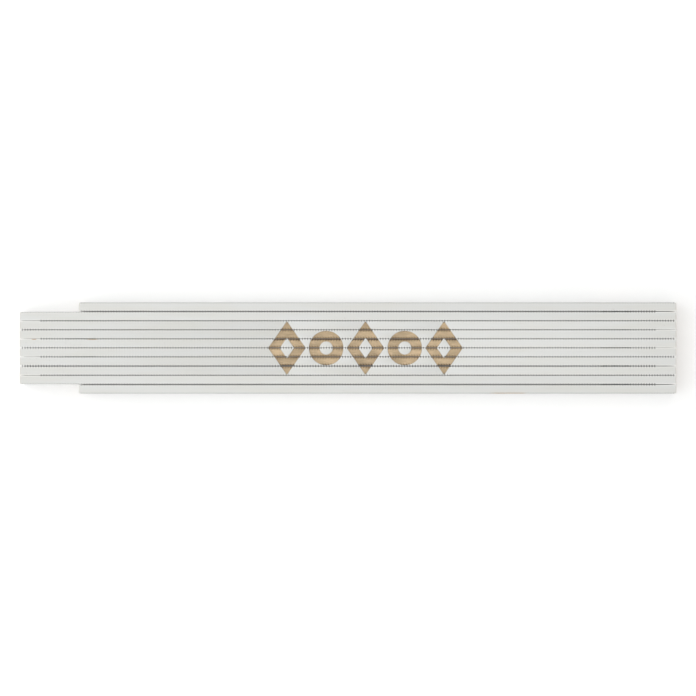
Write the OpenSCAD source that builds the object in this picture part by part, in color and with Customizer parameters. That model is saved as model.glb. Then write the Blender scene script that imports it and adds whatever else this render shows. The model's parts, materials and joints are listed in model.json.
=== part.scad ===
// Two-metre folding rule: wooden slats hinged end over end with sprung steel joints.
// It is drawn folded and lying on its long edges. X runs along the slats, Y through the
// stack from the first slat to the last, and Z up the width of the slats. The origin is
// under the middle of the stack.

/* [Rule] */
// How many slats the rule has
slat_count = 10; // [4:2:10]
// From one pivot of a slat to its other pivot, which is the slat's share of the scale
pivot_pitch = 200; // [150:10:250]
// From a pivot to the end of the slat beyond it
end_overlap = 22; // [20:1:30]

/* [Slats] */
// Thickness of a slat
slat_t = 3.2; // [3:0.1:4]
// Width of a slat
slat_w = 16; // [15:0.5:20]
// Radius along the four long edges
edge_r = 0.15; // [0.1:0.05:0.6]
// Radius of the corners at the ends
corner_r = 0.3; // [0.2:0.1:1.5]
// Space between two slats at a snug joint
snug_gap = 0.15; // [0.15:0.05:0.3]
// Space between two slats at a slack joint
slack_gap = 0.3; // [0.15:0.05:0.4]

/* [Hinge plates] */
// Thickness of a plate
plate_t = 0.7; // [0.5:0.05:0.8]
// How far a plate lies below the face of its slat
plate_sink = 0.1; // [0.1:0.05:0.15]
// Radius of the round middle of a plate
hub_r = 6.2; // [5.5:0.1:6.5]
// Width of the two arms of a plate
arm_w = 8; // [6:0.5:9]
// From the pivot to a fixing rivet
rivet_x = 15; // [12:0.5:15]

/* [Rivets] */
// Radius of the pivot rivet's shank
pivot_r = 1.5; // [1.2:0.1:1.8]
// Radius of the pivot rivet's heads
pivot_head_r = 2.8; // [2.4:0.1:3]
// Thickness of the pivot rivet's heads
pivot_head_t = 0.6; // [0.4:0.05:0.7]
// Radius of a fixing rivet's shank
rivet_r = 1.2; // [1:0.1:1.3]
// Radius of a fixing rivet's head
rivet_head_r = 2.2; // [2:0.1:2.4]
// Thickness of a fixing rivet's head
rivet_head_t = 0.5; // [0.4:0.05:0.6]

/* [Detent spring] */
// Thickness of the spring
spring_t = 0.25; // [0.2:0.01:0.28]
// Width of the spring's four arms
spring_arm_w = 3.4; // [3:0.1:4]
// From the pivot to the middle of a pip
pip_x = 4; // [3.8:0.1:4.2]
// Radius of a pip at its root
pip_r = 0.85; // [0.6:0.05:1]
// How far a pip reaches into its dimple
pip_bite = 0.15; // [0.1:0.05:0.2]
// From the pivot to the middle of a lug
lug_x = 3; // [2.8:0.1:3.2]
// Radius of a lug
lug_r = 0.6; // [0.4:0.05:0.7]

/* [Engraving] */
// Depth of the ornament burned into the edges
engrave_d = 0.4; // [0.2:0.05:0.6]
// From the middle of the rule to the middle of the ornament
ornament_x = 6.5; // [-20:0.5:20]
// Height of the ornament across the stack
ornament_h = 20; // [12:0.5:20]
// Width of one diamond
diamond_w = 14; // [10:0.5:16]
// Radius of one ring
ring_r = 6.4; // [4:0.1:7]
// Space between a diamond and a ring
ornament_gap = 1.2; // [0.8:0.1:3]

/* [Hidden] */
$fn = 48;
free = 0.05;         // running clearance of the pivot, on the radius and along it
ease = 0.03;         // clearance round a piece that is fixed in its slat
swing = 0.3;         // clearance round a pivot head in its recess
overcut = 1;         // how far a cutter runs past the face that it cuts
hole_share = 0.38;   // size of the hole in a diamond or ring, as a share of its own
pip_angles = [0, 90, 180, 270];
lug_angles = [45, 225];
pocket_d = plate_t + plate_sink;
slat_l = pivot_pitch + 2 * end_overlap;
slack_joints = [1, 3, slat_count - 1];

joints = [1:slat_count - 1];
slats = [1:slat_count];

// Space between slat j and slat j + 1
function gap(j) = len(search(j, slack_joints)) > 0 ? slack_gap : snug_gap;
function gaps_before(k) = k <= 1 ? 0 : gap(k - 1) + gaps_before(k - 1);
stack_t = slat_count * slat_t + gaps_before(slat_count);
// The face of slat k that looks to -Y, and the one that looks to +Y
function front_y(k) = -stack_t / 2 + (k - 1) * slat_t + gaps_before(k);
function back_y(k) = front_y(k) + slat_t;
// The pivots stand in turn at the right and at the left end
function side(j) = j % 2 == 1 ? 1 : -1;
function is_outer(k) = k == 1 || k == slat_count;
// The first and last slat have one pivot, so they stop short at the end without one
function slat_x0(k) = is_outer(k) ? -pivot_pitch / 2 : -slat_l / 2;

// ---- helpers ----

// Runs an outline drawn in X and Z along Y from y0 to y1
module along_y(y0, y1) {
    translate([0, y1, 0]) rotate([90, 0, 0]) linear_extrude(y1 - y0) children();
}

// A round bar, or a cone, along Y
module bar_y(y0, y1, r0, r1) {
    translate([0, y0, 0]) rotate([-90, 0, 0]) cylinder(h = y1 - y0, r1 = r0, r2 = r1);
}

// Repeats a piece at each of these angles round the pivot, x from its middle
module round_pivot(angles, x) {
    for (a = angles) rotate([0, a, 0]) translate([x, 0, 0]) children();
}

// A rectangle from the origin with round corners
module rounded_rectangle(w, h, r) {
    translate([r, 0]) square([w - 2 * r, h]);
    translate([0, r]) square([w, h - 2 * r]);
    for (x = [r, w - r], y = [r, h - r]) translate([x, y]) circle(r);
}

// Puts a piece of joint j on its pivot. Its y = 0 is the face of the slat that the piece
// lies in, with +Y out of the wood: slat j for the front side, slat j + 1 for the back side.
module front_side(j) {
    translate([side(j) * pivot_pitch / 2, back_y(j), slat_w / 2]) children();
}

module back_side(j) {
    translate([side(j) * pivot_pitch / 2, front_y(j + 1), slat_w / 2])
        mirror([0, 1, 0]) children();
}

// ---- slats ----

// A round middle with two arms that end in half circles
module plate_outline(grow) {
    circle(hub_r + grow);
    translate([-rivet_x, -arm_w / 2 - grow]) square([2 * rivet_x, arm_w + 2 * grow]);
    for (x = [-rivet_x, rivet_x]) translate([x, 0]) circle(arm_w / 2 + grow);
}

// What is cut from a slat for its half of a joint
module joint_cut() {
    head_space = pivot_head_t + 2 * free;
    along_y(-pocket_d, overcut) plate_outline(ease);
    bar_y(-pocket_d - head_space, 0, pivot_head_r + swing, pivot_head_r + swing);
    for (x = [-rivet_x, rivet_x]) translate([x, 0, 0]) {
        bar_y(-slat_t - overcut, 0, rivet_r + ease, rivet_r + ease);
        bar_y(-slat_t - overcut, -slat_t + rivet_head_t + 2 * ease,
              rivet_head_r + ease, rivet_head_r + ease);
    }
}

// A diamond with a diamond hole
module diamond() {
    half = [[diamond_w / 2, 0], [0, ornament_h / 2], [-diamond_w / 2, 0], [0, -ornament_h / 2]];
    difference() {
        polygon(half);
        polygon(hole_share * half);
    }
}

module ring() {
    difference() {
        circle(ring_r);
        circle(hole_share * ring_r);
    }
}

// Three diamonds with a ring between each two
module ornament() {
    step = diamond_w / 2 + ornament_gap + ring_r;
    translate([ornament_x, 0]) {
        for (n = [-2, 0, 2]) translate([n * step, 0]) diamond();
        for (n = [-1, 1]) translate([n * step, 0]) ring();
    }
}

module slat_blank(k) {
    length = slat_l / 2 - slat_x0(k);
    translate([slat_x0(k), front_y(k), 0]) intersection() {
        rotate([90, 0, 90]) linear_extrude(length) rounded_rectangle(slat_t, slat_w, edge_r);
        along_y(0, slat_t) rounded_rectangle(length, slat_w, corner_r);
    }
}

module slat(k) {
    color("gainsboro") difference() {
        slat_blank(k);
        if (k < slat_count) front_side(k) joint_cut();
        if (k > 1) back_side(k - 1) joint_cut();
        if (abs(front_y(k) + slat_t / 2) < ornament_h / 2)
            translate([0, 0, slat_w - engrave_d]) linear_extrude(engrave_d + overcut) ornament();
    }
}

// ---- joints ----

// A plate with its pivot hole and its two countersunk rivet holes
module hinge_plate(bore_r) {
    difference() {
        along_y(-pocket_d, -plate_sink) plate_outline(0);
        bar_y(-slat_t, overcut, bore_r, bore_r);
        for (x = [-rivet_x, rivet_x]) translate([x, 0, 0]) {
            bar_y(-slat_t, overcut, rivet_r + ease, rivet_r + ease);
            countersink(ease);
        }
        children();
    }
}

// The cone by which a fixing rivet holds the plate, flush with the plate's face
module countersink(grow) {
    depth = plate_t * 0.7;
    bar_y(-plate_sink - depth, -plate_sink, rivet_r + grow, rivet_r + depth + grow);
}

// The front plate holds the pivot rivet tight, and two holes take the spring's lugs
module front_plate(j) {
    color("silver") front_side(j) hinge_plate(pivot_r + ease)
        round_pivot(lug_angles, lug_x) bar_y(-slat_t, overcut, lug_r + ease, lug_r + ease);
}

// The back plate turns on the pivot rivet and has four dimples for the spring's pips
module back_plate(j) {
    color("silver") back_side(j) hinge_plate(pivot_r + free) round_pivot(pip_angles, pip_x)
        bar_y(-plate_sink - pip_bite - 2 * free, overcut, pip_r + free, pip_r + free);
}

// A cross of spring steel on the front plate. Its pips snap into the back plate's dimples
// each quarter turn, and its lugs keep it from turning on the front plate.
module detent_spring(j) {
    base = -plate_sink;
    reach = gap(j) + 2 * plate_sink + pip_bite;
    color("slategray") front_side(j) difference() {
        union() {
            along_y(base, base + spring_t) {
                circle(pip_x);
                for (a = [0, 90]) rotate(a) {
                    square([2 * pip_x, spring_arm_w], center = true);
                    for (x = [-pip_x, pip_x]) translate([x, 0]) circle(spring_arm_w / 2);
                }
            }
            round_pivot(pip_angles, pip_x)
                bar_y(base + spring_t / 2, base + reach, pip_r, pip_r - pip_bite);
            round_pivot(lug_angles, lug_x)
                bar_y(base - plate_t / 2, base + spring_t, lug_r, lug_r);
        }
        bar_y(-slat_t, slat_t, pivot_r + free, pivot_r + free);
    }
}

// The pivot: a shank through both plates, with a head behind each
module pivot_rivet(j) {
    head_edge = 0.6;
    far = gap(j) + pocket_d + free;
    color("silver") front_side(j) {
        bar_y(-pocket_d, far, pivot_r, pivot_r);
        bar_y(-pocket_d - pivot_head_t, -pocket_d, pivot_head_r - head_edge, pivot_head_r);
        bar_y(far, far + pivot_head_t, pivot_head_r, pivot_head_r - head_edge);
    }
}

// One fixing rivet: a flat head let into the slat's outer face, and a flared end in the plate
module fixing_rivet() {
    outer = -slat_t + ease;
    difference() {
        union() {
            bar_y(outer, outer + rivet_head_t, rivet_head_r, rivet_head_r);
            bar_y(outer, -plate_sink, rivet_r, rivet_r);
            countersink(0);
        }
        bar_y(outer - overcut, outer + rivet_head_t / 2, rivet_r * 0.6, rivet_r * 0.6);
    }
}

module fixing_rivets(k) {
    color("silver") {
        if (k < slat_count) front_side(k)
            for (x = [-rivet_x, rivet_x]) translate([x, 0, 0]) fixing_rivet();
        if (k > 1) back_side(k - 1)
            for (x = [-rivet_x, rivet_x]) translate([x, 0, 0]) fixing_rivet();
    }
}

// ---- the rule ----

for (k = slats) {
    slat(k);
    fixing_rivets(k);
}
for (j = joints) {
    front_plate(j);
    back_plate(j);
    detent_spring(j);
    pivot_rivet(j);
}
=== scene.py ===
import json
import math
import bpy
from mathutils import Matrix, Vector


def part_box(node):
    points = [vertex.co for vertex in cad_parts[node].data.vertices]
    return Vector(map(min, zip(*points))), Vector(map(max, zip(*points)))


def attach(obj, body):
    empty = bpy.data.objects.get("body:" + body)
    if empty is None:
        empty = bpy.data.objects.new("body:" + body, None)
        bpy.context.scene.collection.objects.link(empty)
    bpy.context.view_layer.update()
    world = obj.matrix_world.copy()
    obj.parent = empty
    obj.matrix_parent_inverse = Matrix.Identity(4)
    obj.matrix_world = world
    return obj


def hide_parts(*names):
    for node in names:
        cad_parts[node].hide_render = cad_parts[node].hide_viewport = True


bl_info = {
    "name": "Folding Rule",
    "version": (1, 0, 0),
    "blender": (4, 5, 0),
    "location": "View3D > Sidebar > Rule",
    "description": "Finishes a folding rule: lacquer, printed scale, burned ornament and joints",
    "category": "Object",
}

import bmesh
import bpy
from bpy.props import FloatProperty, FloatVectorProperty, PointerProperty
from mathutils import Matrix, Vector, noise

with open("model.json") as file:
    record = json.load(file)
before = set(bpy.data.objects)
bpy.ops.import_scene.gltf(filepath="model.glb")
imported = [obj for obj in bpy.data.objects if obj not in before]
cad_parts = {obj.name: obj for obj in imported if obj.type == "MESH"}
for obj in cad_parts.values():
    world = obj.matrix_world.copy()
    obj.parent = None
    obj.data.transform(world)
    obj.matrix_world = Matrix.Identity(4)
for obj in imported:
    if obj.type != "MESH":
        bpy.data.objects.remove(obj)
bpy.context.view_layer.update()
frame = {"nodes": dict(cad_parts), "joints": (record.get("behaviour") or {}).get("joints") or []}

MM = 0.001
WELD = 0.001 * MM  # points closer than this are one point
SLATS = range(1, 1 + sum(name.startswith("slat_") for name in frame["nodes"]))
JOINTS = range(1, len(frame["joints"]) + 1)
PIVOT_X = frame["joints"][0]["pos_m"][0]
PIVOT_Z = frame["joints"][0]["pos_m"][2]
SECTION_MM = round(2 * PIVOT_X / MM)  # how much of the scale one slat carries
SLAT_END, _, SLAT_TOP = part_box("slat_2")[1]
FRONT, BACK = -1, 1  # the two faces of a slat, by the way that they look along Y
TOP, BOTTOM = 1, -1  # the two long edges of a slat, by the way that they look along Z


def side_of(joint):
    """1 if a joint's pivot is at the right end of the folded rule, and -1 at the left end."""
    return 1 if joint % 2 else -1


def joint_on(k, face):
    """The joint that a slat has on one of its faces, or None on an outer face."""
    joint = k if face == BACK else k - 1
    return joint if joint in JOINTS else None


def section(k):
    """The body that a slat and what is fixed to it move with."""
    return f"section_{k}"


# ---- what a user may change ----


def length(name, millimetres, description):
    """A size that a user may change. It is given in millimetres and kept in metres."""
    return FloatProperty(name=name, description=description, default=millimetres * MM,
                         unit="LENGTH", subtype="DISTANCE", min=0.0, precision=5)


def colour(name, default, description):
    """A colour that a user may change."""
    return FloatVectorProperty(name=name, description=description, default=default,
                               subtype="COLOR", size=3, min=0.0, max=1.0)


class RuleSizes(bpy.types.PropertyGroup):
    """Sizes of the rule's finish, and those of the slats that the finish follows"""

    arris_radius: length("Arris radius", 0.15, "Radius along the long edges of a slat")
    fine_edge: length("Fine edge", 0.05, "How much sharp edges of wood and steel are rounded")
    tick_width: length("Tick width", 0.36, "Width of one printed tick")
    ink_lift: length("Ink lift", 0.012, "How far the print stands above the lacquer")
    short_tick: length("Short tick", 3.0, "Length of the tick at each millimetre")
    middle_tick: length("Middle tick", 4.0, "Length of the tick at each five millimetres")
    long_tick: length("Long tick", 5.0, "Length of the tick at each centimetre")
    stub_tick: length("Stub tick", 1.4, "Length of a tick beside a joint")
    tick_overrun: length("Tick overrun", 0.09, "How far a tick runs past the arris onto the edge")
    bare_end: length("Bare end", 8.0, "Length without ticks at the jointed end of a face")
    digit_height: length("Digit height", 4.3, "Height of the numbers")
    engraving_depth: length("Engraving depth", 0.4, "Depth of the burned ornament")
    ornament_middle: length("Ornament middle", 6.5, "From the middle of the rule to the ornament's")
    ornament_height: length("Ornament height", 20.0, "Height of the ornament across the stack")
    diamond_width: length("Diamond width", 14.0, "Width of one diamond")
    ring_radius: length("Ring radius", 6.4, "Radius of one ring")
    ornament_gap: length("Ornament gap", 1.2, "Space between a diamond and a ring")
    rivet_head: length("Rivet head", 0.5, "Thickness of a fixing rivet's head")
    rivet_shank: length("Rivet shank", 1.2, "Radius of a fixing rivet's shank")
    rivet_flare: length("Rivet flare", 0.49, "How far a fixing rivet is spread in its plate")
    rivet_softness: length("Rivet softness", 0.06, "How much a fixing rivet's edges are rounded")
    pivot_head_radius: length("Pivot head radius", 2.8, "Radius of a pivot rivet's heads")
    pivot_head: length("Pivot head", 0.6, "Thickness of a pivot rivet's heads")
    pivot_shank: length("Pivot shank", 1.5, "Radius of a pivot rivet's shank")
    pivot_flare: length("Pivot flare", 0.6, "Width of the slope round a pivot rivet's heads")
    pivot_softness: length("Pivot softness", 0.12, "How deep a pivot rivet's heads are dished")


class RuleColours(bpy.types.PropertyGroup):
    """Colours of the rule's finishes"""

    lacquer: colour("Lacquer", (0.730, 0.734, 0.715), "White lacquer on the slats")
    bare_wood: colour("Bare wood", (0.46, 0.30, 0.16), "Wood where the lacquer is rubbed off")
    burned: colour("Burned wood", (0.49, 0.37, 0.235), "Middle tone of the burned ornament")
    char: colour("Char", (0.03, 0.013, 0.006), "Where the burning went deepest")
    black_ink: colour("Black ink", (0.012, 0.012, 0.013), "Ticks and numbers")
    red_ink: colour("Red ink", (0.55, 0.02, 0.02), "Numbers at each ten centimetres")
    zinc: colour("Zinc", (0.56, 0.57, 0.575), "Plated hinge plates")
    nickel: colour("Nickel", (0.44, 0.43, 0.41), "Plated rivets")
    blued: colour("Blued steel", (0.13, 0.15, 0.19), "Detent springs")
    floor: colour("Floor", (0.95, 0.95, 0.95), "The floor under the rule")


# ---- node trees ----


class Value:
    """A node's output that takes Python's operators: an expression on it adds its Math nodes."""

    def __init__(self, net, socket):
        self.net = net
        self.socket = socket

    def __getitem__(self, name):
        """Another output of the same node."""
        outputs = self.socket.node.outputs
        return Value(self.net, next(s for s in outputs if name in (s.identifier, s.name)))

    def math(self, operation, *terms):
        return self.net.node("ShaderNodeMath", {"operation": operation}, dict(enumerate(terms)))

    def __add__(self, other):
        return self.math("ADD", self, other)

    def __sub__(self, other):
        return self.math("SUBTRACT", self, other)

    def __rsub__(self, other):
        return self.math("SUBTRACT", other, self)

    def __mul__(self, other):
        return self.math("MULTIPLY", self, other)

    def __pow__(self, other):
        return self.math("POWER", self, other)

    def __abs__(self):
        return self.math("ABSOLUTE", self)

    __radd__ = __add__
    __rmul__ = __mul__

    def at_least(self, other):
        return self.math("MAXIMUM", self, other)

    def at_most(self, other):
        return self.math("MINIMUM", self, other)

    def equals(self, other):
        """1 where two whole numbers are the same."""
        return self.math("COMPARE", self, other, 0.1)

    def floor(self):
        return self.math("FLOOR", self)

    def fraction(self):
        return self.math("FRACT", self)

    def sine(self):
        return self.math("SINE", self)

    def cosine(self):
        return self.math("COSINE", self)

    def rise(self, low, high):
        """0 below low, 1 above high, and a smooth climb between them."""
        sockets = {"Value": self, "From Min": low, "From Max": high}
        return self.net.node("ShaderNodeMapRange", {"interpolation_type": "SMOOTHSTEP"}, sockets)

    def fall(self, low, high):
        """1 below low, 0 above high, and a smooth drop between them."""
        return 1 - self.rise(low, high)


class Net:
    """A node tree that is being built."""

    def __init__(self, tree):
        self.tree = tree

    def node(self, kind, settings=None, sockets=None):
        """Adds a node, sets it up, fills its sockets with numbers or links, and gives its output.

        The setting items is the number of values that an Index Switch chooses from.
        """
        made = self.tree.nodes.new(kind)
        for name, setting in (settings or {}).items():
            if name == "items":
                while len(made.index_switch_items) < setting:
                    made.index_switch_items.new()
            else:
                setattr(made, name, setting)
        for name, given in (sockets or {}).items():
            socket = made.inputs[name] if isinstance(name, int) else next(
                s for s in made.inputs if name in (s.identifier, s.name))
            for value in given if isinstance(given, list) else [given]:
                if isinstance(value, Value):
                    self.tree.links.new(value.socket, socket)
                else:
                    socket.default_value = value
        return Value(self, made.outputs[0]) if made.outputs else None

    def vector(self, x, y, z):
        return self.node("ShaderNodeCombineXYZ", None, {"X": x, "Y": y, "Z": z})


class Finish(Net):
    """A material that is being built. Its places x, y and z are in millimetres."""

    def __init__(self, name, **shader_constants):
        self.material = bpy.data.materials.new(name)
        self.material.use_nodes = True
        super().__init__(self.material.node_tree)
        self.tree.nodes.clear()
        sockets = {name.replace("_", " "): v for name, v in shader_constants.items()}
        shader = self.node("ShaderNodeBsdfPrincipled", None, sockets)
        self.shader = shader.socket.node
        self.node("ShaderNodeOutputMaterial", None, {"Surface": shader})
        place = self.node("ShaderNodeTexCoord")["Object"]
        scale = {"operation": "SCALE"}
        self.place = self.node("ShaderNodeVectorMath", scale, {0: place, "Scale": 1 / MM})
        self.x = self.node("ShaderNodeSeparateXYZ", None, {0: self.place})
        self.y = self.x["Y"]
        self.z = self.x["Z"]

    def noise(self, per_mm, detail=3.0, seed=0.0, roughness=0.55):
        """Noise from 0 to 1, so many waves to a millimetre along X, Y and Z."""
        sockets = {0: self.place, 1: per_mm, 2: (seed, 1.7 * seed, 0.6 * seed)}
        at = self.node("ShaderNodeVectorMath", {"operation": "MULTIPLY_ADD"}, sockets)
        sockets = {"Vector": at, "Scale": 1.0, "Detail": detail, "Roughness": roughness}
        return self.node("ShaderNodeTexNoise", {"noise_dimensions": "3D"}, sockets)

    def attribute(self, name):
        """A value that the mesh carries at each of its points."""
        return self.node("ShaderNodeAttribute", {"attribute_name": name})["Fac"]

    def blend(self, share, under, over):
        """One colour over another, by its share."""
        ends = {key: v if isinstance(v, Value) else (*v, 1.0)
                for key, v in (("A_Color", under), ("B_Color", over))}
        mixed = self.node("ShaderNodeMix", {"data_type": "RGBA"}, {"Factor_Float": share, **ends})
        return mixed["Result_Color"]

    def lighten(self, base, amount):
        """A colour times a number."""
        start = base if isinstance(base, Value) else tuple(base)
        sockets = {0: start, "Scale": amount}
        return self.node("ShaderNodeVectorMath", {"operation": "SCALE"}, sockets)

    def bump(self, height, depth):
        """Relief as deep as this, in metres, where height goes from 0 to 1."""
        sockets = {"Height": height, "Distance": depth, "Strength": 1.0}
        self.link("Normal", self.node("ShaderNodeBump", None, sockets))

    def link(self, name, value):
        self.tree.links.new(value.socket, self.shader.inputs[name])


class Growth(Net):
    """A Geometry Nodes tree with named inputs that are sizes, and a material."""

    def __init__(self, name, sizes):
        super().__init__(bpy.data.node_groups.new(name, "GeometryNodeTree"))
        self.tree.is_modifier = True
        kinds = [("Geometry", "NodeSocketGeometry")]
        kinds += [(size, "NodeSocketFloat") for size in sizes]
        kinds += [("Finish", "NodeSocketMaterial")]
        self.identifiers = {}
        for label, kind in kinds:
            socket = self.tree.interface.new_socket(label, in_out="INPUT", socket_type=kind)
            self.identifiers[label] = socket.identifier
        self.tree.interface.new_socket("Geometry", in_out="OUTPUT", socket_type=kinds[0][1])
        self.given = self.node("NodeGroupInput")

    def named(self, name, data_type):
        """A value that each point carries."""
        sockets = {"Name": name}
        return self.node("GeometryNodeInputNamedAttribute", {"data_type": data_type}, sockets)

    def end(self, parts):
        """Joins the parts and gives them their material."""
        joined = self.node("GeometryNodeJoinGeometry", None, {"Geometry": parts})
        solid = self.node("GeometryNodeRealizeInstances", None, {"Geometry": joined})
        sockets = {"Geometry": solid, "Material": self.given["Finish"]}
        painted = self.node("GeometryNodeSetMaterial", None, sockets)
        self.node("NodeGroupOutput", None, {"Geometry": painted})

    def grow(self, name, points, values):
        """Runs the tree on some points and gives the result as a plain mesh object."""
        seed = new_object(name + "_points", points)
        modifier = seed.modifiers.new("Growth", "NODES")
        modifier.node_group = self.tree
        for label, value in values.items():
            modifier[self.identifiers[label]] = value
        mesh = evaluated_mesh(seed)
        seed.modifiers.remove(modifier)
        bpy.data.objects.remove(seed)
        return new_object(name, mesh)


# ---- meshes ----

SMOOTH_UP_TO = math.radians(32)  # between two faces that are shaded as one
EDGE_FROM = math.radians(35)  # between two faces that meet in a sharp edge
FLAT_UP_TO = math.radians(0.3)  # between two triangles of one flat face


def new_object(name, mesh):
    """An object at the origin that holds a mesh, a curve, a lamp or a camera."""
    made = bpy.data.objects.new(name, mesh)
    bpy.context.scene.collection.objects.link(made)
    return made


def evaluated_mesh(source):
    """What an object's modifiers or its text come to, as a plain mesh."""
    bpy.context.view_layer.update()
    graph = bpy.context.evaluated_depsgraph_get()
    return bpy.data.meshes.new_from_object(source.evaluated_get(graph))


def points_mesh(name, places, attributes):
    """Loose points, each with the values that a tree reads from it."""
    mesh = bpy.data.meshes.new(name)
    mesh.from_pydata(places, [], [])
    for key, (kind, field, values) in attributes.items():
        layer = mesh.attributes.new(key, kind, "POINT")
        layer.data.foreach_set(field, values)
    return mesh


def show(piece, body, slot, *nodes, material=None):
    """Gives a finished piece its body and, if one is given, its material, and hides the CAD nodes
    that it stands for. The slot is not used.
    """
    if material:
        piece.data.materials.clear()
        piece.data.materials.append(material)
    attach(piece, body)
    if nodes:
        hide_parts(*nodes)


def smooth(mesh):
    """Shades a mesh smooth up to its real edges."""
    mesh.shade_smooth()
    mesh.set_sharp_from_angle(angle=SMOOTH_UP_TO)


def join_faces(shape, flat=FLAT_UP_TO):
    """Closes the seams between loose triangles and joins those of one flat face."""
    bmesh.ops.remove_doubles(shape, verts=shape.verts, dist=WELD)
    bmesh.ops.dissolve_limit(shape, angle_limit=flat, verts=shape.verts, edges=shape.edges)


def joined_copy(node):
    """A CAD node's shape with its triangles joined into whole faces."""
    shape = bmesh.new()
    shape.from_mesh(frame["nodes"][node].data)
    for layers in (shape.loops.layers.float_vector, shape.loops.layers.float):
        for layer in list(layers.values()):
            layers.remove(layer)
    join_faces(shape)
    return shape


def round_edges(shape, radius, segments=2):
    """Rounds each edge that is sharper than those of a curved face."""
    sharp = [e for e in shape.edges if e.is_manifold and e.calc_face_angle(0) > EDGE_FROM]
    bmesh.ops.bevel(shape, geom=sharp, offset=radius, segments=segments, profile=0.5,
                    affect="EDGES", clamp_overlap=True)


def to_object(name, shape):
    """Ends a shape's making and puts it in the scene, shaded."""
    mesh = bpy.data.meshes.new(name)
    shape.to_mesh(mesh)
    shape.free()
    if mesh.has_custom_normals:
        mesh.attributes.remove(mesh.attributes["custom_normal"])
    smooth(mesh)
    return new_object(name, mesh)


def softened_piece(name, node, k, slot, sizes, material):
    """A CAD node's own shape with softened edges, in its finish."""
    shape = joined_copy(node)
    round_edges(shape, sizes.fine_edge)
    show(to_object(name, shape), section(k), slot, node, material=material)


# ---- the ornament's outline ----

HOLE_SHARE = 0.38  # size of a figure's hole, as a share of the figure


class Figure:
    """A diamond or a ring of the ornament: its middle, and its outline at a height y."""

    def __init__(self, sizes, place, is_ring):
        step = sizes.diamond_width / 2 + sizes.ornament_gap + sizes.ring_radius
        self.x = sizes.ornament_middle + place * step
        self.is_ring = is_ring
        self.half = sizes.ring_radius if is_ring else sizes.diamond_width / 2
        self.high = sizes.ring_radius if is_ring else sizes.ornament_height / 2

    def reach(self, y, share=1.0):
        """Half the width of the outline at height y, at this share of its size."""
        up = abs(y) / (self.high * share)
        if up >= 1:
            return 0.0
        return self.half * share * (math.sqrt(1 - up * up) if self.is_ring else 1 - up)

    def covers(self, x, y):
        """Whether the burning reaches a place."""
        return self.reach(y, HOLE_SHARE) < abs(x - self.x) < self.reach(y)


def figures(sizes):
    """Diamonds and rings in turn, from left to right."""
    return [Figure(sizes, place, place % 2 == 1) for place in range(-2, 3)]


# ---- materials ----

# where a slat's arris is knocked through to the wood: slat, face, place and half length in mm
CHIPS = ((1, FRONT, 59.5, 6.5), (6, BACK, -95.0, 1.7), (6, BACK, -116.6, 0.8))


def lacquer_finish(k, colours):
    """White lacquer on one slat: faint grain, a little dirt, arrises rubbed to the wood, and a
    painted highlight along arrises beside the next slat.
    """
    low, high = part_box(f"slat_{k}")
    middle, half = (low + high) / 2 / MM, (high - low) / 2 / MM
    f = Finish(f"lacquer_{k}", Coat_Roughness=0.28, Specular_IOR_Level=0.5)
    in_y = half.y - abs(f.y - middle.y)
    in_z = half.z - abs(f.z - middle.z)
    from_arris = in_y + in_z
    from_end = (half.x - abs(f.x - middle.x)).at_least(0.0)
    tone = noise.noise((7.3 * k, 0.4, 2.1))
    cloud = f.noise((0.035, 0.25, 0.25), seed=3.1 * k)
    grain = f.noise((0.045, 2.6, 2.6), detail=5.0, seed=5.0 * k, roughness=0.7)
    pores = f.noise((0.22, 9.0, 9.0), detail=2.0, seed=1.3 * k).rise(0.62, 0.74)
    speck = f.noise((1.6, 1.6, 1.6), detail=1.0, seed=2.2 * k).rise(0.765, 0.79)
    fray = f.noise((0.8, 5.0, 5.0), detail=4.0, seed=9.0 * k, roughness=0.75)
    patch = f.noise((0.055, 0.4, 0.4), detail=2.0, seed=4.4 * k)
    rubbed = (from_arris + 0.5 * fray).fall(0.24, 0.36) * patch.rise(0.6, 0.67)
    for slat, face, place, half_length in CHIPS:
        if slat == k:
            near = abs(f.x - place).fall(0.75 * half_length, 1.15 * half_length)
            near = near * f.z.rise(middle.z, middle.z + 1)
            near = near * ((f.y - middle.y) * face).rise(0.0, 0.5)
            rubbed = rubbed.at_least(near * (from_arris + 0.45 * fray).fall(0.42, 0.58))
    scuffed_end = (from_end + 0.7 * fray).fall(0.35, 0.6)
    # painted highlight: where an arris lies close to the next slat, its lacquer is lightened as if
    # each lit the other
    inner = [d for face, d in ((FRONT, f.y - low.y / MM), (BACK, high.y / MM - f.y))
             if joint_on(k, face)]
    painted_arris_highlight = inner[0].at_most(inner[-1]).fall(0.22, 0.42) * in_z.fall(0.1, 0.3)
    white = tuple(c * (1.0 + 0.018 * tone) for c in colours.lacquer)
    cream = tuple(c * s for c, s in zip(white, (0.98, 0.97, 0.945)))
    paint = f.blend(cloud.rise(0.35, 0.7), white, cream)
    # the painted arris highlight lightens the lacquer's colour here
    paint = f.lighten(paint, 1.0 - 0.04 * grain.rise(0.45, 0.8) - 0.05 * pores + 0.16 * painted_arris_highlight)
    paint = f.blend(0.55 * speck, paint, (0.25, 0.22, 0.19))
    wood = f.blend(grain.rise(0.3, 0.7), colours.bare_wood, (0.62, 0.46, 0.29))
    worn = (rubbed + 0.35 * scuffed_end).at_most(1.0)
    f.link("Base Color", f.blend(worn, paint, wood))
    f.link("Roughness", 0.36 + 0.12 * cloud + 0.3 * worn)
    f.link("Coat Weight", 0.3 - 0.3 * worn)
    f.bump(0.5 * grain + 0.2 * cloud - 0.35 * pores - 0.6 * worn, 0.02 * MM)
    return f.material


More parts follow.
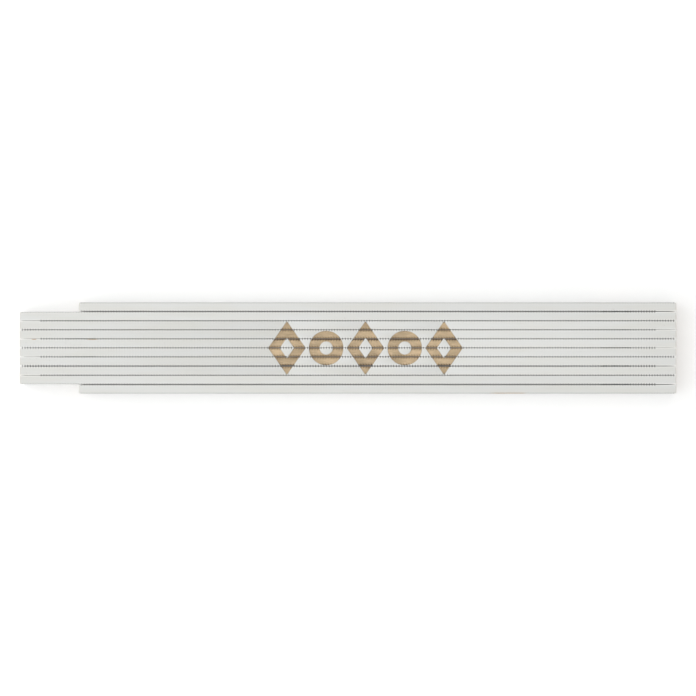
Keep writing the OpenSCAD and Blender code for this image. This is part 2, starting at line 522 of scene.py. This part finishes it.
def burned_finish(colours):
    """Scorched wood: streaks along the grain, a brown rim, charred teeth at slat faces, and a dark
    line along the faces that is char and painted shade of the gaps.
    """
    f = Finish("burned_wood", Specular_IOR_Level=0.25)
    from_face = f.attribute("from_face")
    from_rim = f.attribute("from_rim")
    streak = f.noise((0.13, 4.0, 1.0), detail=5.0, roughness=0.7)
    fine = f.noise((0.6, 10.0, 1.0), detail=3.0, seed=4.0, roughness=0.7)
    cloud = f.noise((0.12, 0.3, 0.3), seed=8.0)
    jitter = f.noise((1.7, 1.7, 1.7), detail=1.0, seed=2.0)
    dark = tuple(0.66 * c for c in colours.burned)
    pale = tuple(1.5 * c for c in colours.burned)
    wood = f.blend((0.7 * streak + 0.3 * cloud).rise(0.32, 0.52), dark, colours.burned)
    wood = f.blend((0.6 * fine + 0.4 * cloud).rise(0.44, 0.62), wood, pale)
    wood = f.blend(0.6 * (from_rim + 0.2 * jitter).fall(0.16, 0.34), wood, dark)
    lean = (f.x + 0.5 * from_face + 0.5).fraction()
    tooth = (abs(lean - 0.5) + 0.4 * from_face + 0.12 * (jitter - 0.5)).fall(0.34, 0.42)
    # dark line along each slat face: partly char, partly painted shade of the gap between slats
    line = (from_face + 0.2 * (jitter - 0.5)).fall(0.12, 0.26)
    # char holds the charred teeth and that line of char and painted gap shade
    char = tooth.at_least(line) * f.attribute("scorch")
    f.link("Base Color", f.blend(char, wood, colours.char))
    f.link("Roughness", 0.72 + 0.2 * streak)
    f.bump(0.7 * streak + 0.4 * fine - 0.4 * char, 0.05 * MM)
    return f.material


def ink_finish(name, ink):
    """Printing ink that lies thin over the pores of the wood."""
    f = Finish(name, Specular_IOR_Level=0.35)
    thin = f.noise((0.5, 8.0, 8.0), detail=3.0, seed=3.0).rise(0.55, 0.8)
    cloud = f.noise((0.3, 0.3, 0.3), seed=7.0)
    f.link("Base Color", f.blend(0.16 * thin, ink, tuple(0.25 + 0.5 * c for c in ink)))
    f.link("Roughness", 0.42 + 0.2 * cloud)
    f.bump(thin, 0.006 * MM)
    return f.material


def plate_finish(colours):
    """Zinc-plated sheet: rolling lines along the plate, and rings rubbed round the pivot."""
    f = Finish("zinc_plate", Metallic=1.0)
    across = f.z - PIVOT_Z / MM
    along = abs(f.x) - PIVOT_X / MM
    radius = (across * across + along * along) ** 0.5
    rolled = f.noise((0.12, 14.0, 14.0), detail=3.0, roughness=0.7)
    cloud = f.noise((0.35, 0.35, 0.35), detail=4.0, seed=2.0)
    ring = (radius * 2.1 + 0.35 * cloud).fraction()
    rubbed = radius.rise(2.2, 2.6) * radius.fall(5.2, 5.9)
    zone = rubbed * (0.35 + 0.65 * abs(ring - 0.5) * 2)
    dull = tuple(0.74 * c for c in colours.zinc)
    bright = tuple(min(1.0, 1.2 * c) for c in colours.zinc)
    sheet = f.blend((0.5 * rolled + 0.5 * cloud).rise(0.35, 0.65), dull, colours.zinc)
    grime = f.noise((0.8, 0.8, 0.8), detail=5.0, seed=6.0).rise(0.6, 0.75)
    sheet = f.blend(0.45 * grime, sheet, (0.16, 0.14, 0.12))
    f.link("Base Color", f.blend(0.7 * zone, sheet, bright))
    f.link("Roughness", (0.34 + 0.16 * cloud + 0.2 * grime - 0.14 * zone).at_least(0.12))
    f.bump(0.5 * rolled + 0.25 * cloud - 0.3 * zone, 0.008 * MM)
    return f.material


def rivet_finish(colours):
    """Nickel-plated rivets: turned rings on the heads, small dents, and patches of dirt."""
    f = Finish("nickel_rivet", Metallic=1.0)
    cloud = f.noise((1.3, 1.3, 1.3), detail=4.0)
    dent = f.noise((1.8, 1.8, 1.8), detail=1.0, seed=5.0).rise(0.6, 0.8)
    rings = f.noise((9.0, 0.6, 9.0), detail=2.0, seed=1.0)
    dark = tuple(0.55 * c for c in colours.nickel)
    f.link("Base Color", f.blend(0.4 * cloud.rise(0.45, 0.8), colours.nickel, dark))
    f.link("Roughness", 0.22 + 0.18 * cloud + 0.08 * dent)
    f.bump(0.4 * rings - 0.5 * dent, 0.01 * MM)
    return f.material


def spring_finish(colours):
    """Blued spring steel with a film of oil, and bright scratches along it."""
    f = Finish("blued_steel", Metallic=1.0, Coat_Roughness=0.1, Coat_Weight=0.3)
    cloud = f.noise((0.8, 0.8, 0.8), detail=4.0)
    scratch = f.noise((0.5, 12.0, 12.0), detail=2.0, seed=3.0).rise(0.55, 0.7)
    straw = (0.28, 0.2, 0.13)
    tint = f.blend(cloud.rise(0.45, 0.75), colours.blued, straw)
    f.link("Base Color", f.blend(0.4 * scratch, tint, (0.5, 0.5, 0.5)))
    f.link("Roughness", 0.25 + 0.2 * cloud)
    f.bump(scratch, 0.005 * MM)
    return f.material


def floor_finish(colours):
    """A pale matt floor, lit a little from below as a light table is."""
    f = Finish("pale_floor", Emission_Strength=FLOOR_GLOW)
    cloud = f.noise((0.004, 0.004, 0.004), detail=2.0)
    tone = f.lighten(tuple(colours.floor), 0.985 + 0.03 * cloud)
    f.link("Base Color", tone)
    f.link("Emission Color", tone)
    f.link("Roughness", 0.75 + 0.1 * cloud)
    return f.material


# ---- burned ornament ----

ROWS = 14  # of a burned strip, across a slat
COLUMNS = 26  # of a burned strip, from a figure's hole to its outline
STRIP_EDGE = 0.015 * MM  # between a burned strip and the walls round it, or past a slat's face
STRIP_BASE = 0.6 * MM  # how far down a slat's face the burning reaches
STRIP_LEAST = 0.1 * MM  # the narrowest stretch of a figure that gets a burned floor
SCORCHED = ((3, FRONT), (4, FRONT), (6, BACK), (8, BACK))  # faces where the ornament is charred and its painted gap shade is full
SINGED = 0.7  # how far the other faces are charred and carry painted gap shade, as a share of that


def grain_ridge(x, y):
    """How high the grain stands at a place: in ridges that are long along the slat."""
    coarse = noise.noise((60 * x, 2600 * y, 0.0))
    fine = noise.noise((300 * x, 5200 * y, 3.0))
    return (0.05 + 0.03 * (coarse + 0.5 * fine)) * MM


def burned_strip(shape, figure, sign, k, sizes):
    """Half of a figure on one slat's edge, as a thin solid with the ridges of the grain on top."""
    low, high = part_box(f"slat_{k}")
    floor = high.z - sizes.engraving_depth
    top_y = min(high.y + STRIP_EDGE, figure.high - STRIP_EDGE)
    bottom_y = max(low.y - STRIP_EDGE, STRIP_EDGE - figure.high)
    ys = [bottom_y + (top_y - bottom_y) * r / ROWS for r in range(ROWS + 1)]
    ys = [y for y in ys if figure.reach(y) - figure.reach(y, HOLE_SHARE) > STRIP_LEAST]
    if len(ys) < 2:
        return
    from_face = shape.verts.layers.float["from_face"]
    from_rim = shape.verts.layers.float["from_rim"]
    scorch = shape.verts.layers.float["scorch"]
    rows = []
    for y in ys:
        inner = figure.reach(y, HOLE_SHARE)
        inner += STRIP_EDGE if inner else 0.0
        outer = figure.reach(y) - STRIP_EDGE
        row = []
        for c in range(COLUMNS + 1):
            reach = inner + (outer - inner) * c / COLUMNS
            x = figure.x + sign * reach
            face = FRONT if y - low.y < high.y - y else BACK
            pair = []
            for z in (floor + grain_ridge(x, y), floor - STRIP_BASE):
                v = shape.verts.new((x, y, z))
                v[from_face] = min(y - low.y, high.y - y) / MM
                v[from_rim] = min(outer - reach, (reach - inner) if inner else outer) / MM
                # how strong the char and the painted gap shade are at this face
                v[scorch] = 1.0 if (k, face) in SCORCHED else SINGED
                pair.append(v)
            row.append(pair)
        rows.append(row)
    close_strip(shape, rows)


def close_strip(shape, rows):
    """Skins a grid of upper and lower points as one closed solid."""
    last = len(rows) - 1
    for r in range(last):
        for c in range(COLUMNS):
            a, b, d, e = rows[r][c], rows[r][c + 1], rows[r + 1][c], rows[r + 1][c + 1]
            shape.faces.new((a[0], b[0], e[0], d[0]))
            shape.faces.new((a[1], d[1], e[1], b[1]))
        for c in (0, COLUMNS):
            a, d = rows[r][c], rows[r + 1][c]
            shape.faces.new((a[0], d[0], d[1], a[1]))
    for c in range(COLUMNS):
        for r in (0, last):
            a, b = rows[r][c], rows[r][c + 1]
            shape.faces.new((a[0], a[1], b[1], b[0]))


def burned_piece(k, sizes, material):
    """The floor of the ornament on one slat's edge, where the ornament crosses it."""
    shape = bmesh.new()
    for key in ("from_face", "from_rim", "scorch"):
        shape.verts.layers.float.new(key)
    for figure in figures(sizes):
        for sign in (-1, 1):
            burned_strip(shape, figure, sign, k, sizes)
    if not shape.verts:
        shape.free()
        return
    bmesh.ops.recalc_face_normals(shape, faces=shape.faces)
    piece = to_object(f"burned_ornament_{k}", shape)
    show(piece, section(k), "burned_wood", material=material)


# ---- printed scale ----

HUB_CLEAR = 6.7 * MM  # half of the stretch where a hinge plate's round middle leaves little room
ARM_CLEAR = 19.6 * MM  # half of the stretch that a hinge plate takes
TICK_CLEAR = 0.6 * MM  # from the end of a slat to the nearest tick
NUMBER_CLEAR = 24 * MM  # from a pivot to the nearest number on the face with its hinge plate
END_CLEAR = 5 * MM  # from the end of a slat to the nearest number
DIGIT_NARROW = 0.74  # width of the digits, as a share of what the font has
DIGIT_SPACE = 0.38 * MM
DIGIT_FLAT = 0.01  # radians that an outline may turn at a point that is left out
TICK_SIZES = ("Tick width", "Ink lift", "Arris radius", "Cut depth", "Tick overrun")
TICK_KINDS = ("Short tick", "Middle tick", "Long tick", "Stub tick")
ARC_POINTS = 5  # of a tick where it bends over the arris


def ticks_tree():
    """Ticks on points: each runs up a slat's face and over the arris, or stops at the ornament."""
    g = Growth("Printed ticks", [*TICK_SIZES, *TICK_KINDS])
    given, radius = g.given, g.given["Arris radius"]
    index = g.node("GeometryNodeInputIndex")
    kind = g.named("kind", "INT")
    turn = g.node("FunctionNodeEulerToRotation", None, {0: g.named("turn", "FLOAT_VECTOR")})
    sockets = {"Width": given["Tick width"], "Height": given["Ink lift"] * 2}
    section_shape = g.node("GeometryNodeCurvePrimitiveQuadrilateral", None, sockets)
    first = 1 - index.at_most(1.0)
    last = (index - ARC_POINTS).at_least(0.0)
    angle = (index - 1 - last).at_least(0.0) * (math.pi / 2 / (ARC_POINTS - 1))
    parts = []
    for number, label in enumerate(TICK_KINDS):
        straight = given[label] - radius
        bent = g.vector(0.0, radius - radius * angle.cosine() + last * given["Tick overrun"],
                        radius * angle.sine() - radius - first * straight)
        cut = g.vector(0.0, 0.0, index * (given[label] - given["Cut depth"]) - given[label])
        for shift, place, count in ((0, bent, ARC_POINTS + 2), (len(TICK_KINDS), cut, 2)):
            line = g.node("GeometryNodeCurvePrimitiveLine")
            line = g.node("GeometryNodeResampleCurve", None, {"Curve": line, "Count": count})
            path = g.node("GeometryNodeSetPosition", None, {"Geometry": line, "Position": place})
            sockets = {"Curve": path, "Profile Curve": section_shape, "Fill Caps": True}
            tick = g.node("GeometryNodeCurveToMesh", None, sockets)
            sockets = {"Points": given["Geometry"], "Selection": kind.equals(number + shift),
                       "Instance": tick, "Rotation": turn}
            parts.append(g.node("GeometryNodeInstanceOnPoints", None, sockets))
    g.end(parts)
    return g


def place_of(k, value):
    """Where a value of the scale, in millimetres, is along X on a slat."""
    past = (value - SECTION_MM * (k - 1)) * MM
    return past - PIVOT_X if k % 2 else PIVOT_X - past


def values_on(k):
    """The whole millimetres of the scale that a slat carries."""
    low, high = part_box(f"slat_{k}")
    start = SECTION_MM * (k - 1)
    return [v for v in range(start - SECTION_MM, start + 2 * SECTION_MM)
            if low.x + TICK_CLEAR < place_of(k, v) < high.x - TICK_CLEAR]


def tick_kind(k, face, value, x, sizes):
    """Which tick stands at a value on a face, or None where the face is bare."""
    marks = 2 if value % 10 == 0 else 1 if value % 5 == 0 else 0
    joint = joint_on(k, face)
    if joint is None:
        return marks
    past = side_of(joint) * x
    if past > SLAT_END - sizes.bare_end:
        return None
    if abs(past - PIVOT_X) < HUB_CLEAR:
        return TICK_KINDS.index("Stub tick")
    return 0 if abs(past - PIVOT_X) < ARM_CLEAR else marks


def tick_points(k, sizes):
    """A point at the arris for each tick of a slat, with its kind and the way that it turns."""
    low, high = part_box(f"slat_{k}")
    shapes = figures(sizes)
    places, kinds, turns = [], [], []
    for face, y in ((FRONT, low.y), (BACK, high.y)):
        for edge, z in ((TOP, high.z), (BOTTOM, low.z)):
            for value in values_on(k):
                x = place_of(k, value)
                kind = tick_kind(k, face, value, x, sizes)
                if kind is None:
                    continue
                if edge == TOP and any(s.covers(x, y) for s in shapes):
                    kind += len(TICK_KINDS)
                places.append((x, y, z))
                kinds.append(kind)
                turns += [math.pi * (face == BACK and edge == BOTTOM),
                          math.pi * (face == FRONT and edge == BOTTOM),
                          math.pi * (face == BACK and edge == TOP)]
    return points_mesh(f"tick_points_{k}", places, {
        "kind": ("INT", "value", kinds),
        "turn": ("FLOAT_VECTOR", "vector", turns),
    })


def digit_shapes(sizes):
    """Each digit as a thin solid as high as the numbers, with its width."""
    shapes = {}
    for digit in "0123456789":
        curve = bpy.data.curves.new(digit, "FONT")
        curve.body = digit
        curve.resolution_u = 3
        source = new_object("digit", curve)
        mesh = evaluated_mesh(source)
        bpy.data.objects.remove(source)
        shapes[digit] = mesh
    tall = max(v.co.y for v in shapes["1"].vertices)
    scale = sizes.digit_height / tall
    solid = {}
    for digit, mesh in shapes.items():
        flat = bmesh.new()
        flat.from_mesh(mesh)
        left = min(v.co.x for v in flat.verts)
        wide = max(v.co.x for v in flat.verts) - left
        fit = Matrix.Diagonal((scale * DIGIT_NARROW, scale, scale, 1.0))
        middle = Vector((left + wide / 2, tall / 2, 0.0))
        bmesh.ops.transform(flat, matrix=fit @ Matrix.Translation(-middle), verts=flat.verts)
        join_faces(flat, DIGIT_FLAT)
        thick = 2 * sizes.ink_lift
        grown = bmesh.ops.extrude_face_region(flat, geom=flat.faces[:])["geom"]
        top = [v for v in grown if isinstance(v, bmesh.types.BMVert)]
        bmesh.ops.translate(flat, vec=(0.0, 0.0, thick), verts=top)
        bmesh.ops.translate(flat, vec=(0.0, 0.0, -thick / 2), verts=flat.verts)
        bmesh.ops.recalc_face_normals(flat, faces=flat.faces)
        made = bpy.data.meshes.new("digit_" + digit)
        flat.to_mesh(made)
        flat.free()
        solid[digit] = (made, wide * scale * DIGIT_NARROW)
    return solid


def write_number(shape, text, digits, frame_at):
    """Adds a number to a shape, centred where frame_at puts the origin."""
    wide = sum(digits[d][1] for d in text) + DIGIT_SPACE * (len(text) - 1)
    at = -wide / 2
    for d in text:
        mesh, width = digits[d]
        before = len(shape.verts)
        shape.from_mesh(mesh)
        shape.verts.ensure_lookup_table()
        move = frame_at @ Matrix.Translation((at + width / 2, 0.0, 0.0))
        bmesh.ops.transform(shape, matrix=move, verts=shape.verts[before:])
        at += width + DIGIT_SPACE


def number_frame(k, face, x):
    """The plane of a number: along the reading direction, up the digits, and out of the face."""
    low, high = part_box(f"slat_{k}")
    along = 1 if k % 2 else -1
    up = along * (1 if face == FRONT else -1)
    y = low.y if face == FRONT else high.y
    z = (low.z + high.z) / 2
    return Matrix(((along, 0, 0, x), (0, 0, face, y), (0, up, 0, z), (0, 0, 0, 1)))


def numbers_pieces(k, digits, black, red):
    """The numbers on a slat: centimetres in black, and each tenth of them in red."""
    low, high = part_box(f"slat_{k}")
    shapes = {False: bmesh.new(), True: bmesh.new()}
    for face in (FRONT, BACK):
        joint = joint_on(k, face)
        for value in values_on(k):
            x = place_of(k, value)
            room = low.x + END_CLEAR < x < high.x - END_CLEAR
            if joint is not None:
                room = room and side_of(joint) * x < PIVOT_X - NUMBER_CLEAR
            if value % 10 == 0 and value > 0 and room:
                target = shapes[value % 100 == 0]
                write_number(target, str(value // 10), digits, number_frame(k, face, x))
    for is_red, shape in shapes.items():
        if not shape.verts:
            shape.free()
            continue
        name, slot, ink = ((f"decimetre_numbers_{k}", "red_ink", red) if is_red else
                           (f"centimetre_numbers_{k}", "black_ink", black))
        mesh = bpy.data.meshes.new(name)
        shape.to_mesh(mesh)
        shape.free()
        show(new_object(name, mesh), section(k), slot, material=ink)


# ---- rivets ----

TURNED_SIDES = 32  # of a rivet


def turned(g, profile):
    """A closed turned shape about Y from its profile, a list of (radius, place along Y)."""
    last = len(profile) - 1
    sockets = {"Size X": 1.0, "Size Y": float(last), "Vertices X": TURNED_SIDES + 1,
               "Vertices Y": last + 1}
    grid = g.node("GeometryNodeMeshGrid", None, sockets)
    across = g.node("ShaderNodeSeparateXYZ", None, {0: g.node("GeometryNodeInputPosition")})
    angle = across["X"] * (2 * math.pi)
    station = (across["Y"] + (last / 2 + 0.01)).floor()
    settings = {"data_type": "FLOAT", "items": len(profile)}
    radius, along = (
        g.node("GeometryNodeIndexSwitch", settings, dict(enumerate([station, *values])))
        for values in zip(*profile))
    place = g.vector(radius * angle.cosine(), along, radius * angle.sine())
    sockets = {"Geometry": grid, "Position": place}
    shell = g.node("GeometryNodeSetPosition", None, sockets)
    sockets = {"Geometry": shell, "Distance": WELD}
    return g.node("GeometryNodeMergeByDistance", None, sockets)


def on_points(g, solid):
    """A solid on each point, turned as the point says."""
    turn = g.node("FunctionNodeEulerToRotation", None, {0: g.named("turn", "FLOAT_VECTOR")})
    sockets = {"Points": g.given["Geometry"], "Instance": solid, "Rotation": turn}
    return g.node("GeometryNodeInstanceOnPoints", None, sockets)


RIVET_SIZES = ["Head radius", "Head thickness", "Shank radius", "Length", "Flare", "Soften"]


def fixing_tree():
    """Fixing rivets on points: a flat head with a pricked middle, a shank, and a flared end."""
    g = Growth("Fixing rivets", RIVET_SIZES)
    head, thick, shank, long, flare, soft = (g.given[s] for s in RIVET_SIZES)
    profile = [
        (0.0, thick * 0.45), (shank * 0.45, thick * 0.42), (shank * 0.6, soft),
        (shank * 0.6 + soft, 0.0), (head - soft * 2, 0.0), (head - soft * 0.6, soft * 0.5),
        (head, soft * 1.6), (head, thick), (shank, thick), (shank, long - flare),
        (shank + flare, long - soft * 0.4), (shank + flare - soft, long), (0.0, long),
    ]
    g.end([on_points(g, turned(g, profile))])
    return g


def pivot_tree():
    """Pivot rivets on points: a peened head, a shank through both plates, and another head."""
    g = Growth("Pivot rivets", RIVET_SIZES)
    head, thick, shank, long, flare, soft = (g.given[s] for s in RIVET_SIZES)
    profile = [
        (0.0, soft), (shank * 0.4, soft * 0.6), (shank * 0.75, 0.0), (head - flare, 0.0),
        (head - flare * 0.35, thick * 0.35), (head, thick * 0.8), (head, thick), (shank, thick),
        (shank, long - thick), (head, long - thick), (head, long - thick * 0.8),
        (head - flare * 0.35, long - thick * 0.35), (head - flare, long),
        (shank * 0.75, long), (shank * 0.4, long - soft * 0.6), (0.0, long - soft),
    ]
    g.end([on_points(g, turned(g, profile))])
    return g


def solids_of(node):
    """The boxes of the separate solids in a CAD node, from left to right."""
    shape = joined_copy(node)
    left, boxes = set(shape.verts), []
    while left:
        group, edge = set(), [left.pop()]
        while edge:
            v = edge.pop()
            group.add(v)
            near = {e.other_vert(v) for e in v.link_edges} & left
            left -= near
            edge += near
        cos = [v.co for v in group]
        boxes.append((Vector(map(min, zip(*cos))), Vector(map(max, zip(*cos)))))
    shape.free()
    return sorted(boxes, key=lambda box: box[0].x)


def set_rivets(name, node, k, tree, points, values):
    """Grows the rivets that stand for a CAD node, with their faces turned outwards."""
    piece = tree.grow(name, points, values)
    shape = bmesh.new()
    shape.from_mesh(piece.data)
    bmesh.ops.recalc_face_normals(shape, faces=shape.faces)
    shape.to_mesh(piece.data)
    shape.free()
    smooth(piece.data)
    show(piece, section(k), "rivet_steel", node)


def rivets_piece(k, tree, sizes, material):
    """The fixing rivets of one slat. Each has its head in the face away from its hinge plate."""
    node = f"fixing_rivets_{k}"
    places, turns = [], []
    for low, high in solids_of(node):
        middle = (low + high) / 2
        joint_face = BACK if joint_on(k, BACK) and side_of(k) * middle.x > 0 else FRONT
        places.append((middle.x, low.y if joint_face == BACK else high.y, middle.z))
        turns += [0.0, 0.0, 0.0 if joint_face == BACK else math.pi]
        size = high - low
    points = points_mesh(node, places, {"turn": ("FLOAT_VECTOR", "vector", turns)})
    set_rivets(f"set_rivets_{k}", node, k, tree, points, {
        "Head radius": size.x / 2, "Head thickness": sizes.rivet_head,
        "Shank radius": sizes.rivet_shank, "Length": size.y, "Flare": sizes.rivet_flare,
        "Soften": sizes.rivet_softness, "Finish": material})


def pivot_piece(j, tree, sizes, material):
    """The rivet that a joint turns on."""
    node = f"pivot_rivet_{j}"
    low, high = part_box(node)
    points = points_mesh(node, [(side_of(j) * PIVOT_X, low.y, PIVOT_Z)],
                         {"turn": ("FLOAT_VECTOR", "vector", [0.0, 0.0, 0.0])})
    set_rivets(f"peened_pivot_{j}", node, j, tree, points, {
        "Head radius": sizes.pivot_head_radius, "Head thickness": sizes.pivot_head,
        "Shank radius": sizes.pivot_shank, "Length": high.y - low.y, "Flare": sizes.pivot_flare,
        "Soften": sizes.pivot_softness, "Finish": material})


# ---- stage ----

FLOOR_GLOW = 0.18  # brightness of the floor's own light
FLOOR_SIZE = 8.0
FLOOR_DROP = 0.1 * MM  # how far the floor lies below the rule's lower edges
SKY_ABOVE = 0.46  # brightness of the studio overhead
SKY_EDGE = 1.0  # and round its foot
KEY_WATTS = 42.0
FILL_WATTS = 62.0
FILL_AWAY = 4.2  # from the rule to the fill light on either side
VIEW_WIDTH = 0.2586  # what the camera takes in at the height of the upper edges
LENS_MM = 200.0
SENSOR_MM = 36.0


def area_light(name, place, target, size, watts, tint):
    """A soft box that looks at a target."""
    lamp = bpy.data.lights.new(name, "AREA")
    lamp.shape = "RECTANGLE"
    lamp.size, lamp.size_y = size
    lamp.energy = watts
    lamp.color = tint
    made = new_object(name, lamp)
    made.location = place
    made.rotation_euler = (Vector(target) - Vector(place)).to_track_quat("-Z", "Y").to_euler()


def lay_floor(colours):
    """A wide pale floor under the rule."""
    mesh = bpy.data.meshes.new("floor")
    half = FLOOR_SIZE / 2
    corners = [(-half, -half), (half, -half), (half, half), (-half, half)]
    mesh.from_pydata([(x, y, -FLOOR_DROP) for x, y in corners], [], [(0, 1, 2, 3)])
    mesh.materials.append(floor_finish(colours))
    new_object("floor", mesh)


def light_studio():
    """White walls all round that dim overhead, a key light above and a fill light on each side."""
    world = bpy.data.worlds.new("studio")
    world.use_nodes = True
    sky = Net(world.node_tree)
    sky.tree.nodes.clear()
    direction = sky.node("ShaderNodeTexCoord")["Generated"]
    rise = sky.node("ShaderNodeSeparateXYZ", None, {0: direction})["Z"]
    strength = SKY_ABOVE + (SKY_EDGE - SKY_ABOVE) * abs(rise).fall(0.1, 0.3)
    sockets = {"Color": (1.0, 1.0, 1.0, 1.0), "Strength": strength}
    light = sky.node("ShaderNodeBackground", None, sockets)
    sky.node("ShaderNodeOutputWorld", None, {"Surface": light})
    bpy.context.scene.world = world
    area_light("key", (-1.2, 0.0, 2.6), (0, 0, 0), (3.0, 3.0), KEY_WATTS, (0.985, 1.0, 1.0))
    for name, y in (("front_fill", -FILL_AWAY), ("back_fill", FILL_AWAY)):
        area_light(name, (0.4, y, 1.4), (0.4, 0, 0), (6.0, 1.4), FILL_WATTS, (1.0, 0.99, 0.97))


def set_camera():
    """A camera straight above the folded rule."""
    view = bpy.data.cameras.new("camera")
    view.sensor_width = SENSOR_MM
    view.lens = LENS_MM
    view.clip_start = 0.01
    made = new_object("camera", view)
    made.location = (0.0, 0.0, SLAT_TOP + VIEW_WIDTH * LENS_MM / SENSOR_MM)
    bpy.context.scene.camera = made
    settings = bpy.context.scene.view_settings
    settings.view_transform = "Standard"
    settings.look = "None"


# ---- operators ----


def sizes_and_colours(context):
    """What is set in the panel."""
    return context.scene.rule_sizes, context.scene.rule_colours


class RULE_OT_stage(bpy.types.Operator):
    """Lay the floor, hang the lights and set up the camera above the rule"""

    bl_idname = "rule.stage"
    bl_label = "Stage"

    def execute(self, context):
        lay_floor(context.scene.rule_colours)
        light_studio()
        set_camera()
        return {"FINISHED"}


class RULE_OT_slats(bpy.types.Operator):
    """Lacquer the slats"""

    bl_idname = "rule.slats"
    bl_label = "Slats"

    def execute(self, context):
        sizes, colours = sizes_and_colours(context)
        for k in SLATS:
            name, node = f"lacquered_slat_{k}", f"slat_{k}"
            softened_piece(name, node, k, "lacquered_wood", sizes, lacquer_finish(k, colours))
        return {"FINISHED"}


class RULE_OT_ornament(bpy.types.Operator):
    """Burn the ornament into the upper edges of the middle slats"""

    bl_idname = "rule.ornament"
    bl_label = "Ornament"

    def execute(self, context):
        sizes, colours = sizes_and_colours(context)
        burned = burned_finish(colours)
        for k in SLATS:
            burned_piece(k, sizes, burned)
        return {"FINISHED"}


class RULE_OT_ticks(bpy.types.Operator):
    """Print the millimetre ticks on both faces of each slat"""

    bl_idname = "rule.ticks"
    bl_label = "Ticks"

    def execute(self, context):
        sizes, colours = sizes_and_colours(context)
        tree = ticks_tree()
        ink = ink_finish("tick_ink", colours.black_ink)
        values = {
            "Tick width": sizes.tick_width, "Ink lift": sizes.ink_lift,
            "Arris radius": sizes.arris_radius, "Cut depth": sizes.engraving_depth,
            "Tick overrun": sizes.tick_overrun,
            "Short tick": sizes.short_tick, "Middle tick": sizes.middle_tick,
            "Long tick": sizes.long_tick, "Stub tick": sizes.stub_tick, "Finish": ink,
        }
        for k in SLATS:
            piece = tree.grow(f"scale_ticks_{k}", tick_points(k, sizes), values)
            show(piece, section(k), "black_ink")
        return {"FINISHED"}


class RULE_OT_numbers(bpy.types.Operator):
    """Print the numbers at each centimetre"""

    bl_idname = "rule.numbers"
    bl_label = "Numbers"

    def execute(self, context):
        sizes, colours = sizes_and_colours(context)
        digits = digit_shapes(sizes)
        black = ink_finish("number_ink", colours.black_ink)
        red = ink_finish("red_number_ink", colours.red_ink)
        for k in SLATS:
            numbers_pieces(k, digits, black, red)
        return {"FINISHED"}


class RULE_OT_plates(bpy.types.Operator):
    """Plate the hinge plates with zinc and soften their pressed edges"""

    bl_idname = "rule.plates"
    bl_label = "Hinge plates"

    def execute(self, context):
        sizes, colours = sizes_and_colours(context)
        zinc = plate_finish(colours)
        for j in JOINTS:
            for word, k in (("front", j), ("back", j + 1)):
                name, node = f"pressed_plate_{j}_{word}", f"hinge_plate_{j}_{word}"
                softened_piece(name, node, k, "plate_steel", sizes, zinc)
        return {"FINISHED"}


class RULE_OT_springs(bpy.types.Operator):
    """Blue the detent springs"""

    bl_idname = "rule.springs"
    bl_label = "Detent springs"

    def execute(self, context):
        sizes, colours = sizes_and_colours(context)
        blued = spring_finish(colours)
        for j in JOINTS:
            name, node = f"blued_spring_{j}", f"detent_spring_{j}"
            softened_piece(name, node, j, "spring_steel", sizes, blued)
        return {"FINISHED"}


class RULE_OT_rivets(bpy.types.Operator):
    """Set the fixing rivets and peen the pivots"""

    bl_idname = "rule.rivets"
    bl_label = "Rivets"

    def execute(self, context):
        sizes, colours = sizes_and_colours(context)
        nickel = rivet_finish(colours)
        fixing, pivots = fixing_tree(), pivot_tree()
        for k in SLATS:
            rivets_piece(k, fixing, sizes, nickel)
        for j in JOINTS:
            pivot_piece(j, pivots, sizes, nickel)
        return {"FINISHED"}


STEPS = (RULE_OT_stage, RULE_OT_slats, RULE_OT_ornament, RULE_OT_ticks, RULE_OT_numbers,
         RULE_OT_plates, RULE_OT_springs, RULE_OT_rivets)


class RULE_PT_panel(bpy.types.Panel):
    """Lists the steps that finish the rule"""

    bl_idname = "RULE_PT_panel"
    bl_label = "Folding Rule"
    bl_space_type = "VIEW_3D"
    bl_region_type = "UI"
    bl_category = "Rule"

    def draw(self, context):
        for step in STEPS:
            self.layout.operator(step.bl_idname)
        for group in sizes_and_colours(context):
            column = self.layout.column(align=True)
            for name in group.__annotations__:
                column.prop(group, name)


CLASSES = (RuleSizes, RuleColours, *STEPS, RULE_PT_panel)


def register():
    for cls in CLASSES:
        bpy.utils.register_class(cls)
    bpy.types.Scene.rule_sizes = PointerProperty(type=RuleSizes)
    bpy.types.Scene.rule_colours = PointerProperty(type=RuleColours)


def unregister():
    del bpy.types.Scene.rule_sizes
    del bpy.types.Scene.rule_colours
    for cls in reversed(CLASSES):
        bpy.utils.unregister_class(cls)


def main():
    register()
    bpy.ops.rule.stage()
    bpy.ops.rule.slats()
    bpy.ops.rule.ornament()
    bpy.ops.rule.ticks()
    bpy.ops.rule.numbers()
    bpy.ops.rule.plates()
    bpy.ops.rule.springs()
    bpy.ops.rule.rivets()


if __name__ == "__main__":
    main()
